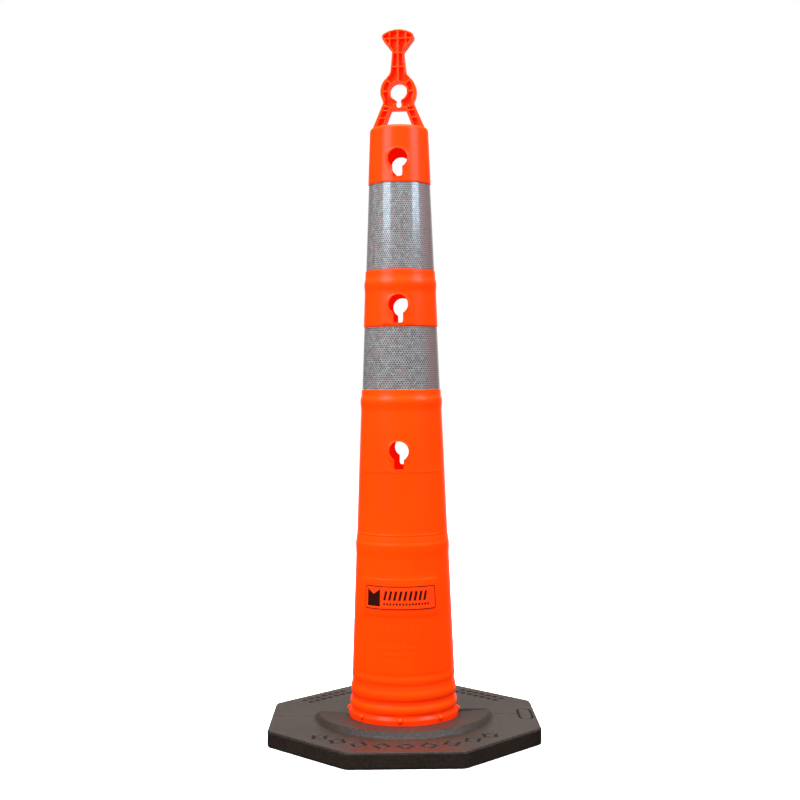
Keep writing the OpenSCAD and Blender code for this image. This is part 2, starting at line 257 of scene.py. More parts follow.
def outside_r(z):
    """Outer radius of the shaft between the foot's curve and the rounded top edge."""
    z = np.asarray(z, float)
    r = shaft_r(z)
    for low, height, proud, lean in RINGS:
        t = np.clip((z - low) / height, 0, 1)
        r = r + proud * np.sin(math.pi * t ** lean)
    for level, proud in LINES:
        r = r + proud * np.clip(1 - np.abs(z - level) / LINE_HALF, 0, 1)
    for low, high in BANDS.values():
        r = r - BAND_SEAT * smooth(z, low - 1.3, low - 0.4) * (1 - smooth(z, high + 0.4, high + 1.3))
    foot = FOOT_R - (FOOT_R - rib_r(RIB_LOW)) * smooth(z, FOOT_CURVE_Z, RIB_LOW)
    into_ribs = 1 - smooth(z, RIB_EDGES[-1] - 11, RIB_EDGES[-1] + 1)
    r = r + (rib_r(z) - r) * into_ribs
    return np.where(z < RIB_LOW, foot, r)


def inside_r(z):
    """Inner radius of the shaft below the ledge that carries the handle."""
    top = shaft_r(LEDGE_Z - 18) - WALL
    low = shaft_r(RIB_TOP) - WALL
    return np.interp(z, [34, 46, 62, RIB_TOP, LEDGE_Z - 17],
                     [FOOT_R - WALL, FOOT_R - 8, FOOT_R - 11, low, top])


def window_rows(centre_z):
    """Rows of points over a keyhole, from below its slot to above its round part."""
    return np.linspace(centre_z - WINDOW_BELOW, centre_z + WINDOW_ABOVE, WINDOW_ROWS)


def window_half_columns(centre_z):
    """Columns on each side of a keyhole's middle."""
    return round(math.degrees(math.asin(WINDOW_HALF / float(outside_r(centre_z)))) * COLUMNS / 360)


def clear_of_windows(z, margin):
    return all(not z0 - WINDOW_BELOW - margin < z < z0 + WINDOW_ABOVE + margin for z0 in KEYHOLES)


def outside_rows():
    """Heights of the rows of points on the shaft's outside, close together at each detail."""
    rows = [np.linspace(FOOT_CURVE_Z, RIB_LOW, 10), np.linspace(RIB_LOW, RIB_EDGES[-1] + 4, 69),
            np.arange(RIB_EDGES[-1] + 9, LEDGE_Z, 9.0)]
    rows += [np.linspace(low, low + height, 22) for low, height, _, _ in RINGS]
    rows += [level + np.array([-LINE_HALF, -0.8, 0, 0.8, LINE_HALF]) for level, _ in LINES]
    rows += [edge + sign * np.array([0.3, 0.6, 0.9, 1.2, 1.5])
             for low, high in BANDS.values() for edge, sign in ((low, -1), (high, 1))]
    rows += [edge + np.array([-1.2, -0.4, 0.4, 1.2]) for edge in (FIELD_LOW, FIELD_HIGH)]
    loose = np.unique(np.round(np.concatenate(rows), 3))
    kept = [z for z in loose if clear_of_windows(z, 0.6)]
    spaced = [kept[0]]
    for z in kept[1:]:
        if z - spaced[-1] > LEAST_SPACING:
            spaced.append(z)
    return np.sort(np.concatenate([spaced] + [window_rows(z0) for z0 in KEYHOLES]))


def keyhole_edge(angle):
    """Distance from the round part's centre to the keyhole's edge in this direction."""
    c, s = math.cos(angle), math.sin(angle)
    if s >= 0:
        return KEYHOLE_R
    reach = min(SLOT_HALF / max(abs(c), 1e-6), SLOT_DROP / abs(s))
    corner_x, corner_z = SLOT_HALF - SLOT_CORNER, SLOT_CORNER - SLOT_DROP
    if abs(c) * reach > corner_x and s * reach < corner_z:
        along = abs(c) * corner_x + s * corner_z
        reach = along + math.sqrt(max(along ** 2 - corner_x ** 2 - corner_z ** 2 + SLOT_CORNER ** 2, 0))
    return max(KEYHOLE_R, reach)


# A keyhole's section, as distance from its edge and height above the wall's surface:
# the lip outside, and the small round inside.
LIP_OUTSIDE = ((0, -0.9), (0, -0.1), (0.2, 0.35), (0.6, 0.6), (1.3, 0.62), (2.0, 0.35), (2.8, 0.05))
LIP_INSIDE = ((0, 0.8), (0.2, 0.25), (0.8, 0.0))
BORDER_STEPS = (0.35, 0.7)


def keyhole_rings(border, centre_z, side, radius_at, section):
    """Rings of points from a keyhole's edge out towards the border points round it."""
    rings = [[] for _ in range(len(section) + len(BORDER_STEPS))]
    for point in border:
        x, z = side * point[0], point[2] - centre_z
        angle, reach = math.atan2(z, x), math.hypot(x, z)
        edge = keyhole_edge(angle)
        last = edge + section[-1][0]
        stops = [(edge + d, h) for d, h in section]
        stops += [(last + (reach - last) * step, 0) for step in BORDER_STEPS]
        for ring, (distance, lift) in zip(rings, stops):
            px, pz = distance * math.cos(angle), distance * math.sin(angle)
            r = float(radius_at(centre_z + pz)) + lift
            ring.append((side * px, -side * math.sqrt(r * r - px * px), centre_z + pz))
    return rings


def shaft_profile():
    """Closed outline of the shaft's wall as (r, z): up the outside and down the inside."""
    foot = [(FOOT_R - WALL, FOOT_BOTTOM), (COLLAR_R - 0.8, FOOT_BOTTOM), (COLLAR_R, FOOT_BOTTOM + 0.8),
            (COLLAR_R, COLLAR_TOP - 0.8), (COLLAR_R - 0.8, COLLAR_TOP), (FOOT_R + 1.2, COLLAR_TOP),
            (FOOT_R, COLLAR_TOP + 1.2), (FOOT_R, 28.0), (FOOT_R, 37.0)]
    outer = [(float(outside_r(z)), z) for z in outside_rows()]
    steps = np.linspace(0, math.pi / 2, 11)
    lip = [(TOP_R - 5.6 * (1 - math.cos(a)), SHOULDER_Z + TOP_CURVE * math.sin(a)) for a in steps]
    mouth = [(MOUTH_R + 1.2, SHAFT_TOP), (MOUTH_R + 0.35, SHAFT_TOP - 0.35), (MOUTH_R, SHAFT_TOP - 1.2),
             (MOUTH_R, LEDGE_Z), (MOUTH_R - 4, LEDGE_Z), (MOUTH_R - 4, LEDGE_Z - 7)]
    inner_z = [z for z in np.arange(62, LEDGE_Z - 20, 24.0) if clear_of_windows(z, 3)]
    inner_z = np.sort(np.concatenate([[34, 46, LEDGE_Z - 17], inner_z]
                                     + [window_rows(z0) for z0 in KEYHOLES]))[::-1]
    inner = [(float(inside_r(z)), z) for z in inner_z]
    return foot + outer + lip + mouth + inner


def front_panel_lift(x, z):
    """The shaft's slightly raised field behind the printed panel."""
    return (FIELD_LIFT * smooth(z, FIELD_LOW - 1.2, FIELD_LOW + 1.2)
            * (1 - smooth(z, FIELD_HIGH - 1.2, FIELD_HIGH + 1.2))
            * (1 - smooth(np.abs(x), FIELD_HALF - 1, FIELD_HALF + 1)))


def shaft_points():
    """The wall's profile, and its points row by row all the way round."""
    profile = np.array(shaft_profile())
    angles = np.arange(COLUMNS) * 2 * math.pi / COLUMNS
    r, z = profile[:, :1], profile[:, 1:]
    outer = np.arange(len(profile)) < np.argmax(profile[:, 1])
    front = np.cos(angles) > 0
    lift = front_panel_lift(r * np.sin(angles), z) * outer[:, None] * front
    return profile, revolved(r + lift, z, angles)


def lug(angle):
    """A round-ended stud that stands out of the foot."""
    section = [(LUG_R * math.sin(a), LUG_R * math.cos(a)) for a in np.radians(range(10, 91, 10))]
    section.append((LUG_R, -3.0))
    around = 28
    points = [(0.0, LUG_R, 0.0)]
    for rho, out in section:
        points += [(rho * math.cos(b), out, rho * math.sin(b))
                   for b in np.linspace(0, 2 * math.pi, around, endpoint=False)]
    faces = [(0, 1 + (b + 1) % around, 1 + b) for b in range(around)]
    faces += [tuple(i + 1 for i in q) for q in quads_of(len(section), around, wrap_cols=True)]
    faces.append(tuple(range(len(points) - around, len(points))))
    c, s = math.cos(angle), math.sin(angle)
    centre_r = FOOT_R - LUG_SUNK
    placed = [(x * c + (centre_r + out) * s, x * s - (centre_r + out) * c, z + LUG_Z)
              for x, out, z in points]
    return placed, faces


def rounded_box_outline(width, height, corner, steps=4):
    """Outline of a rectangle with round corners, centred, counter-clockwise."""
    points = []
    for cx, cz, start in ((1, 1, 0), (-1, 1, 90), (-1, -1, 180), (1, -1, 270)):
        for a in np.radians(np.linspace(start, start + 90, steps + 1)):
            points.append((cx * (width / 2 - corner) + corner * math.cos(a),
                           cz * (height / 2 - corner) + corner * math.sin(a)))
    return points


def moulded_bar(x, z, width, height):
    """A pillow-shaped raised bar on the shaft's front."""
    rings = ((0.0, -0.6), (0.0, 0.0), (0.4, 0.12), (0.9, 0.24), (1.4, 0.28))
    points = []
    for inset, lift in rings:
        for px, pz in rounded_box_outline(width - 2 * inset, height - 2 * inset,
                                          max(0.9 - inset * 0.5, 0.2)):
            r = float(outside_r(z + pz)) + lift
            points.append((x + px, -math.sqrt(r * r - (x + px) ** 2), z + pz))
    return points, capped_stack(points, len(points) // len(rings))


def moulded_bars():
    """Plain bars in three rows, where a maker would mould a size mark."""
    bars = [moulded_bar(i * 11, 187, 4, 22) for i in range(-3, 4)]
    bars += [moulded_bar(i * 7, 165, 4, 6) for i in range(-5, 6)]
    return bars + [moulded_bar(i * 7, 153, 4, 6) for i in range(-4, 5)]


def build_shaft():
    """The hollow shaft: a grid of quads with each keyhole's window cut out and rebuilt."""
    profile, grid_points = shaft_points()
    rows = len(profile)
    index = np.arange(rows * COLUMNS).reshape(rows, COLUMNS).tolist()
    quads, j, k = grid_faces(rows, COLUMNS, wrap_rows=True, wrap_cols=True)
    keep = np.ones(len(quads), bool)
    points, faces = grid_points.tolist(), []
    top_row = int(np.argmax(profile[:, 1]))
    for centre_z in KEYHOLES:
        levels = window_rows(centre_z)
        half = window_half_columns(centre_z)
        outer_low = int(np.argmin(np.abs(profile[:top_row, 1] - levels[0])))
        inner_high = top_row + int(np.argmin(np.abs(profile[top_row:, 1] - levels[-1])))
        walls = ((outer_low, outer_low + WINDOW_ROWS - 1, outside_r, LIP_OUTSIDE),
                 (inner_high, inner_high + WINDOW_ROWS - 1, inside_r, LIP_INSIDE))
        for middle, side in ((0, 1), (COLUMNS // 2, -1)):
            off = (k - middle + COLUMNS // 2) % COLUMNS - COLUMNS // 2
            edges = []
            for first, last, radius_at, section in walls:
                keep &= ~((j >= first) & (j < last) & (off >= -half) & (off < half))
                low, high = (first, last) if radius_at is outside_r else (last, first)
                around = border_path(index, low, high, middle, half)
                rings = keyhole_rings([points[i] for i in around], centre_z, side, radius_at, section)
                numbered = []
                for ring in rings:
                    numbered.append(list(range(len(points), len(points) + len(ring))))
                    points.extend(ring)
                numbered.append(around)
                for a, b in zip(numbered, numbered[1:]):
                    faces += strip(a, b)
                edges.append(numbered[0])
            faces += strip(edges[0], edges[1])
    faces = [tuple(q) for q in quads[keep].tolist()] + faces
    lugs = [lug(i * 2 * math.pi / LUGS) for i in range(LUGS)]
    add_parts(points, faces, lugs + moulded_bars())
    return make_object("shaft_shell", points, faces, sharp=50)


def border_path(index, low, high, middle, half):
    """Grid points round a window, once round from its lower left corner; low and high are
    the rows of its lower and upper edges, whichever way the rows are numbered."""
    step = 1 if high > low else -1
    cols = [(middle + i) % COLUMNS for i in range(-half, half + 1)]
    path = [index[low][c] for c in cols[:-1]]
    path += [index[r][cols[-1]] for r in range(low, high, step)]
    path += [index[high][c] for c in reversed(cols[1:])]
    path += [index[r][cols[0]] for r in range(high, low, -step)]
    return path


# ======== collars and panel
def build_band(level):
    """Sheeting wrapped once round the shaft, with its ends meeting at the back."""
    low, high = BANDS[level]
    gap = math.asin(BAND_GAP_HALF / TOP_R)
    angles = np.linspace(-math.pi + gap, math.pi - gap, 241)
    heights = np.linspace(low, high, 13)

    def seat(z):
        return shaft_r(z) - BAND_SEAT + 0.1

    section = ([(seat(low), low), (seat(low) + BAND_T - 0.15, low), (seat(low) + BAND_T, low + 0.15)]
               + [(seat(z) + BAND_T, z) for z in heights[1:-1]]
               + [(seat(high) + BAND_T, high - 0.15), (seat(high) + BAND_T - 0.15, high),
                  (seat(high), high)]
               + [(seat(z), z) for z in heights[-2:0:-1]])
    section = np.array([(float(r), z) for r, z in section])
    points = revolved(section[:, :1], section[:, 1:], angles)
    faces = quads_of(len(section), len(angles), wrap_rows=True)
    faces += [tuple(j * len(angles) + end for j in range(len(section)))
              for end in (0, len(angles) - 1)]
    return make_object(level + "_band_sheeting", points, faces, sharp=30)


def bent_shape(name, shapes, lift, thickness):
    """Flat shapes in (arc, height) from the panel's middle, bent round the shaft's front.
    A shape is one outline, or an (outline, hole) pair with the same number of points."""
    flat = bmesh.new()
    for shape in shapes:
        if isinstance(shape, tuple):
            outer = [flat.verts.new((s, 0, z)) for s, z in shape[0]]
            hole = [flat.verts.new((s, 0, z)) for s, z in shape[1]]
            for i in range(len(outer)):
                n = (i + 1) % len(outer)
                flat.faces.new((outer[i], outer[n], hole[n], hole[i]))
        else:
            flat.faces.new([flat.verts.new((s, 0, z)) for s, z in shape])
    for s in np.arange(-60, 60.1, 3):
        bmesh.ops.bisect_plane(flat, geom=flat.verts[:] + flat.edges[:] + flat.faces[:],
                               plane_co=(s, 0, 0), plane_no=(1, 0, 0))
    made = bmesh.ops.extrude_face_region(flat, geom=flat.faces[:])
    for v in made["geom"]:
        if isinstance(v, bmesh.types.BMVert):
            v.co.y = thickness
    middle_r = float(shaft_r(PANEL_MIDDLE)) + lift
    for v in flat.verts:
        s, out, z = v.co
        r = float(shaft_r(PANEL_MIDDLE + z)) + lift + out
        a = s / middle_r
        v.co = (r * math.sin(a), -r * math.cos(a), PANEL_MIDDLE + z)
    # Cutting leaves points and faces in an order that changes from run to run.
    ordered = sorted(flat.verts, key=lambda v: [round(c, 4) for c in v.co])
    points = [tuple(v.co) for v in ordered]
    number = {v: i for i, v in enumerate(ordered)}
    loops = [[number[v] for v in f.verts] for f in flat.faces]
    flat.free()
    firsts = [loop.index(min(loop)) for loop in loops]
    faces = sorted(tuple(loop[i:] + loop[:i]) for loop, i in zip(loops, firsts))
    return make_object(name, points, faces, sharp=30)


def panel_size():
    """The panel's width along the shaft's surface, and its height."""
    radius = float(shaft_r(PANEL_MIDDLE))
    return 2 * radius * math.asin(PANEL_HALF / (radius + 1.1)), PANEL_HIGH[2] - PANEL_LOW[2]


def build_panel_film():
    width, height = panel_size()
    return bent_shape("panel_film", [rounded_box_outline(width, height, 5, 6)], 0.6, 0.4)


def build_panel_print():
    """Plain print: a rounded frame, a block with a notch, slanted bars and a dotted line."""
    width, height = panel_size()
    outer = rounded_box_outline(width - 1.8, height - 1.8, 4, 6)
    inner = rounded_box_outline(width - 4.8, height - 4.8, 2.6, 6)
    shapes = [(outer, inner)]
    left = -width / 2 + 7
    shapes.append([(left, -15), (left + 26, -15), (left + 26, 15), (left + 13, 6), (left, 15)])
    after_block = left + 32
    for i in range(9):
        x = after_block + i * 8.9
        shapes.append([(x, -4), (x + 4.4, -4), (x + 8.0, 12), (x + 3.6, 12)])
    for i in range(15):
        x = after_block + i * 5.6
        shapes.append([(x + px + 2, pz - 10.5) for px, pz in rounded_box_outline(3, 4, 1, 3)])
    return bent_shape("panel_print", shapes, 1.0, 0.08)


# ======== handle
RAIL_W = 3.0
FINE_W = RAIL_W - 0.4
EDGE_W = 5.2
LEG_RAIL_W = 3.2
INNER_RAIL_W = 4.0
WEB_HALF = 2.0
HEAD_ARC_R = 48.0
HEAD_HALF_W = 28.0
NECK_HALF = 10.2
WAIST_Z = RING_Z - 21.8
BAR_Z = RING_Z - 30.7
BAR_W = 3.4
SLOT_R = 5.0
SLOT_Z = RING_Z - 22.2
SLOT_NECK = 3.5
SLOT_GAP = math.degrees(math.asin(SLOT_NECK / RING_HOLE_R))
HANDLE_TURN = math.radians(-3)
REMESH_VOXEL = 0.7
SOFTEN_STEPS = 4
LEG_FOOT_Z = SHAFT_TOP - 3
LEG_REST_Z = SHAFT_TOP + 0.5
LEG_FOOT_X = 46.0
LEG_INSIDE = [(41.0, LEG_REST_Z), (41.0, LEG_FOOT_Z)]
WAIST_HALF = 27.0
RING_R = 31.8


def arc(cx, cz, radius, start, end, count):
    return [(cx + radius * math.cos(a), cz + radius * math.sin(a))
            for a in np.radians(np.linspace(start, end, count))]


def head_side():
    """Right edge of the head and neck, from the arc's end down to the ring."""
    return [(HEAD_HALF_W - 1.4, HEAD_TOP - 8.4), (HEAD_HALF_W, HEAD_TOP - 11),
            (HEAD_HALF_W, HEAD_TOP - 14.4), (HEAD_HALF_W - 1.2, HEAD_TOP - 17.2),
            (NECK_HALF + 1.2, HEAD_TOP - 36.8), (NECK_HALF, HEAD_TOP - 40), (11.8, RING_Z + 51.2),
            (13.6, RING_Z + 35.2), (15.8, RING_Z + 29.6), (20.5, RING_Z + 24.6)]


def leg_edge():
    """Right outer edge of the waist and leg, from the ring down to the shaft."""
    return [(WAIST_HALF + 0.8, RING_Z - 15.4), (WAIST_HALF + 0.1, WAIST_Z + 3.2),
            (WAIST_HALF, WAIST_Z + 1.6), (WAIST_HALF + 0.5, WAIST_Z + 0.4), (LEG_FOOT_X, LEG_REST_Z)]


def along(points, width):
    """A strip of the given width along a line of points, on its right-hand side going down."""
    line = [Vector(p) for p in points]
    inner = []
    for i, p in enumerate(line):
        before = (p - line[i - 1]).normalized() if i else None
        after = (line[i + 1] - p).normalized() if i + 1 < len(line) else None
        run = ((before or after) + (after or before)).normalized()
        normal = Vector((run.y, -run.x))
        stretch = 1 / max(normal.dot(Vector((after.y, -after.x))), 0.5) if after else 1
        inner.append(tuple(p + normal * width * stretch))
    return list(points) + inner[::-1]


def bar(a, b, width):
    """A straight rib from a to b."""
    run = (Vector(b) - Vector(a)).normalized() * width / 2
    side = Vector((-run.y, run.x))
    a, b = Vector(a) - run, Vector(b) + run
    return [tuple(a + side), tuple(a - side), tuple(b - side), tuple(b + side)]


def mirrored(outline):
    return [(-x, z) for x, z in reversed(outline)]


def head_arc(radius):
    reach = math.degrees(math.asin((HEAD_HALF_W - 1.4) / HEAD_ARC_R))
    return arc(0, HEAD_TOP - HEAD_ARC_R, radius, 90 + reach, 90 - reach, 33)


def ring_sector(inner, outer, start, end):
    """Part of a ring round the handle's hole, between two angles in degrees."""
    count = max(4, int(abs(end - start) / 3))
    return arc(0, RING_Z, outer, start, end, count) + arc(0, RING_Z, inner, end, start, count)


def slot_side():
    """Right half of the web round the cord slot, down to the cross bar."""
    neck = math.degrees(math.acos(SLOT_NECK / SLOT_R))
    return (arc(0, SLOT_Z, SLOT_R, -90, neck, 16)
            + arc(0, RING_Z, RING_HOLE_R, SLOT_GAP - 90, -35, 12)
            + [(WAIST_HALF, RING_Z - 17), (WAIST_HALF, WAIST_Z), (14, BAR_Z - 2), (0, BAR_Z - 2)])


def web_outlines():
    """Outlines of the thin web between the rails."""
    head = head_arc(HEAD_ARC_R) + head_side() + mirrored(head_side())
    leg = leg_edge()[1:] + LEG_INSIDE + [(26.6, LEG_FOOT_Z), (13, BAR_Z - 2.4), (10, BAR_Z)]
    ring = ring_sector(RING_HOLE_R, RING_R, SLOT_GAP - 90, 270 - SLOT_GAP)
    return [head, ring, slot_side(), mirrored(slot_side()), leg, mirrored(leg)]


def rail_outlines():
    """Deep rails and ribs: the right half's, the same mirrored, and those across the middle."""
    right = [
        along(head_side(), RAIL_W),
        ring_sector(RING_R - EDGE_W, RING_R, -34, 47),
        ring_sector(RING_HOLE_R, RING_HOLE_R + RAIL_W, SLOT_GAP - 84, 90),
        along(leg_edge()[:4], LEG_RAIL_W),
        leg_edge()[3:] + LEG_INSIDE + [(39.6, LEG_FOOT_Z), (WAIST_HALF - LEG_RAIL_W, WAIST_Z + 0.4)],
        bar((14.8, BAR_Z), (28.7, LEG_FOOT_Z + 1), INNER_RAIL_W),
        bar((14.5, HEAD_TOP - 5), (14.5, HEAD_TOP - 31), FINE_W),
        bar((RING_HOLE_R + 1, RING_Z), (RING_R - 2, RING_Z), RAIL_W),
        bar((12.8, RING_Z + 12.8), (21, RING_Z + 21), RAIL_W),
        bar((9, BAR_Z + 1.5), (23, BAR_Z + 4.5), RAIL_W),
        bar((18, BAR_Z - 3), (29, BAR_Z - 3), FINE_W),
        bar((23, BAR_Z - 16), (35, BAR_Z - 16), FINE_W),
        bar((6.6, SLOT_Z + 1), (9, BAR_Z), RAIL_W),
    ]
    middle = [
        head_arc(HEAD_ARC_R) + head_arc(HEAD_ARC_R - 3.4)[::-1],
        bar((0, HEAD_TOP - 2), (0, RING_Z + RING_HOLE_R + 2), RAIL_W + 0.8),
        bar((-HEAD_HALF_W + 2.5, HEAD_TOP - 16.3), (HEAD_HALF_W - 2.5, HEAD_TOP - 16.3), FINE_W),
        bar((-8.5, HEAD_TOP - 41.5), (8.5, HEAD_TOP - 41.5), FINE_W),
        bar((-11, HEAD_TOP - 66), (11, HEAD_TOP - 66), FINE_W),
        bar((-15, BAR_Z), (15, BAR_Z), BAR_W),
    ]
    return right + [mirrored(o) for o in right] + middle


def prism(outline, half):
    """A flat outline in (x, z), as thick as half each way along Y."""
    count = len(outline)
    points = [(x, -half, z) for x, z in outline] + [(x, half, z) for x, z in outline]
    faces = [tuple(range(count)), tuple(range(2 * count - 1, count - 1, -1))]
    faces += [(i, (i + 1) % count, count + (i + 1) % count, count + i) for i in range(count)]
    return points, faces


def plug():
    """Round plug that sits in the shaft's mouth, with a rounded top edge."""
    radius = MOUTH_R - 0.2
    section = np.array([(radius - 1, LEDGE_Z + 0.2), (radius, LEDGE_Z + 1.2), (radius, SHAFT_TOP - 3),
                        (radius - 0.5, SHAFT_TOP - 2.2), (radius - 1.4, SHAFT_TOP - 2)])
    angles = np.linspace(0, 2 * math.pi, 120, endpoint=False)
    points = revolved(section[:, :1], section[:, 1:], angles).tolist()
    return points, capped_stack(points, len(angles))


def build_handle():
    """The handle's overlapping prisms and plug, made one skin by a remesh and softened."""
    parts = [prism(o, WEB_HALF) for o in web_outlines()]
    parts += [prism(o, HANDLE_HALF - 0.1) for o in rail_outlines()]
    points, faces = [], []
    add_parts(points, faces, parts + [plug()])
    handle = make_object("handle_moulding", points, faces)
    remesh = handle.modifiers.new("remesh", "REMESH")
    remesh.mode = "VOXEL"
    remesh.voxel_size = REMESH_VOXEL * MM
    soften = handle.modifiers.new("soften", "SMOOTH")
    soften.factor = 0.5
    soften.iterations = SOFTEN_STEPS
    apply_modifiers(handle)
    handle.data.transform(Matrix.Rotation(HANDLE_TURN, 4, "Z"))
    return handle


# ======== base
def octagon_r(angle):
    """Radius of the octagon's rounded outline in this direction."""
    power = 120
    total = sum(max(math.cos(angle - i * math.pi / 4), 0) ** power for i in range(8))
    return min(BASE_AF / 2 * total ** (-1 / power), CORNER_R)


def groove(distance, half_width):
    """Depth from 1 in the middle of an engraved line to 0 past its soft edge."""
    return 1 - smooth(np.abs(distance), half_width - 0.5, half_width + 0.4)


def front_marks(x, y):
    """Engraved squares standing on their corners, along an arc in front of the pad."""
    depth = np.zeros_like(x)
    for i in range(-4, 5):
        a = i * SQUARES_STEP
        u = x * math.cos(a) + y * math.sin(a)
        v = x * math.sin(a) - y * math.cos(a) - SQUARES_R
        away = (np.abs(u) + np.abs(v) - SQUARE_REACH) / math.sqrt(2)
        depth = np.maximum(depth, groove(away, SQUARE_LINE))
    return depth


def rear_marks(x, y):
    """Engraved dashes in two rows on the rear corners' flats."""
    depth = np.zeros_like(x)
    for side in (-1, 1):
        a = side * math.pi / 4
        u = x * math.cos(a) + y * math.sin(a)
        v = -x * math.sin(a) + y * math.cos(a)
        for row in DASH_ROWS:
            for i in range(-3, 4):
                away = np.maximum(np.abs(u - i * DASH_STEP) - DASH_HALF[0],
                                  np.abs(v - row) - DASH_HALF[1])
                depth = np.maximum(depth, 1 - smooth(away, -0.6, 0.5))
    return depth


def edge_mark(x, y):
    """Long engraved loop near the edge, crossed by the parting line."""
    past_straight = np.maximum(np.abs(y) - LOOP_HALF, 0)
    return groove(np.hypot(x - LOOP_X, past_straight) - LOOP_R, LOOP_LINE)


def top_z(x, y, front):
    """Height of the base's top surface: the front's dished pad, or the rear's flat slab with
    its prying notch, with the engraved marks and the softened edges taken off."""
    r = np.hypot(x, y)
    if front:
        pad_top = PAD_EDGE_Z - 0.3
        dish = PAD_FOOT_Z + (pad_top - PAD_FOOT_Z) * (r - BORE_R + 1) / (PAD_R - BORE_R + 1)
        slope = 1 - 0.3 * smooth(r, PAD_R - 0.8, PAD_R + 10.5) - 0.7 * np.clip((r - PAD_R) / 10, 0, 1)
        z = SLAB_TOP + (np.minimum(dish, pad_top) - SLAB_TOP) * slope
        marks = front_marks(x, y)
    else:
        notch = (x > 0) * (1 - smooth(x, PAD_R - 1.2, PAD_R))
        z = SLAB_TOP - PRY_DEEP * notch * (1 - smooth(y, PRY_WIDE - 2.2, PRY_WIDE - 1))
        marks = rear_marks(x, y)
    z = z - MARK_DEPTH * np.maximum(marks, edge_mark(x, y))
    z = z - CHAMFER * np.clip(1 - (np.abs(y) - HALF_GAP / 2) / 1.4, 0, 1) ** 2
    return z - CHAMFER * np.clip(1 - (r - BORE_R) / 1.6, 0, 1) ** 2


def base_grid(front):
    """Points of one half's skin as (section, column), closed round the section."""
    side = -1 if front else 1
    polar = np.radians(np.arange(1.4, 178.7, 0.3))
    offsets = HALF_GAP / 2 + np.array([0, 0.4, 0.9, 1.5])
    top_rows = np.concatenate([BORE_R + np.array([0, 0.3, 0.8, 1.6]), np.arange(105, 147, 3.5),
                               np.arange(148, 163.5, 0.9), np.arange(166, 184, 4),
                               np.arange(184.5, 216.6, 1.05)])
    outer_steps = np.linspace(0, 1, 15)[1:]
    edge = ((2.6, -0.15), (0.5, -2.3), (0.12, -2.75), (0.0, -3.4))
    wall = [(0.0, z) for z in np.linspace(SLAB_TOP - 5, 4, 8)] + [(0.0, 2.6), (0.8, 1.0), (2.5, 0.0)]
    under = np.linspace(0, 1, 7)[1:]
    bore = [(BORE_R, 4.6), (GROOVE_R, 4.6), (GROOVE_R, 14.6), (BORE_R, 14.6), (BORE_R, 24.0)]

    def column(angle, offset):
        """One column, at an angle or at a fixed distance from the parting line. A stop with no
        height of its own lies on the top surface."""
        reach = octagon_r(angle)
        last = top_rows[-1]
        stops = [(r, None) for r in top_rows]
        stops += [(last + (reach - 3 - last) * t, None) for t in outer_steps]
        stops += [(reach - inset, SLAB_TOP + drop) for inset, drop in edge]
        stops += [(reach - inset, z) for inset, z in wall]
        stops += [(reach - 2.5 + (BORE_R - reach + 2.5) * t, 0.0) for t in under]
        stops += bore
        radii = np.array([r for r, _ in stops])
        if offset is None:
            x, y = radii * math.cos(angle), side * radii * math.sin(angle)
        else:
            x = np.sqrt(radii ** 2 - offset ** 2) * (1 if angle < 1 else -1)
            y = np.full_like(radii, side * offset)
        z = [top if level is None else level for (_, level), top in zip(stops, top_z(x, y, front))]
        return np.stack([x, y, z], -1)

    columns = [column(0.0, o) for o in offsets]
    columns += [column(a, None) for a in polar]
    columns += [column(math.pi, o) for o in offsets[::-1]]
    return np.stack(columns, 1)


def capped(points, loops):
    """Triangles that close a flat end: its outline, and any hole after it."""
    numbers = sum(loops, [])
    corners = [[Vector(points[i]) for i in loop] for loop in loops]
    return [tuple(numbers[i] for i in tri) for tri in tessellate_polygon(corners)]


def build_base_half(front):
    """One half of the base: the front has pockets in its flat ends, the rear has tongues."""
    grid = base_grid(front)
    rows, cols = grid.shape[:2]
    points = grid.reshape(-1, 3).tolist()
    faces = quads_of(rows, cols, wrap_rows=True)
    for column, direction in ((0, 1), (cols - 1, -1)):
        loops = [[j * cols + column for j in range(rows)]]
        if front:
            half = TONGUE_W / 2 + TONGUE_ROOM
            low, high = TONGUE_Z[0] - TONGUE_ROOM, TONGUE_Z[1] + TONGUE_ROOM
            corner = [(direction * (TONGUE_X + sx * half), z)
                      for sx, z in ((-1, low), (1, low), (1, high), (-1, high))]
            hole = list(range(len(points), len(points) + 4))
            points += [[x, -HALF_GAP / 2, z] for x, z in corner]
            deep = list(range(len(points), len(points) + 4))
            points += [[x, -TONGUE_L - 2, z] for x, z in corner]
            faces += strip(hole, deep) + [tuple(deep)]
            loops.append(hole)
        faces += capped(points, loops)
    if not front:
        add_parts(points, faces, [tongue(-1), tongue(1)])
    name = "front_base_rubber" if front else "rear_base_rubber"
    return make_object(name, points, faces, turn=BASE_TURN, sharp=42)


def tongue(direction):
    """Tongue with rounded edges that the other half's pocket takes."""
    middle_z = (TONGUE_Z[0] + TONGUE_Z[1]) / 2
    height = TONGUE_Z[1] - TONGUE_Z[0]
    stations = ((6.0, 0.0), (2.0 - TONGUE_L, 0.0), (0.6 - TONGUE_L, 0.6), (-TONGUE_L, 2.0))
    points = []
    for y, inset in stations:
        outline = rounded_box_outline(TONGUE_W - 2 * inset, height - 2 * inset, 2.0 - inset / 2)
        points += [(direction * TONGUE_X + px, y, middle_z + pz) for px, pz in outline]
    return points, capped_stack(points, len(points) // len(stations))


# ======== materials
def new_material(name):
    """A material with its tree, its shader and the object's coordinates."""
    material = bpy.data.materials.new(name)
    material.use_nodes = True
    tree = material.node_tree
    tree.nodes.clear()
    output = tree.nodes.new("ShaderNodeOutputMaterial")
    shader = tree.nodes.new("ShaderNodeBsdfPrincipled")
    tree.links.new(shader.outputs[0], output.inputs[0])
    return material, tree, shader, add(tree, "TexCoord").outputs["Object"]


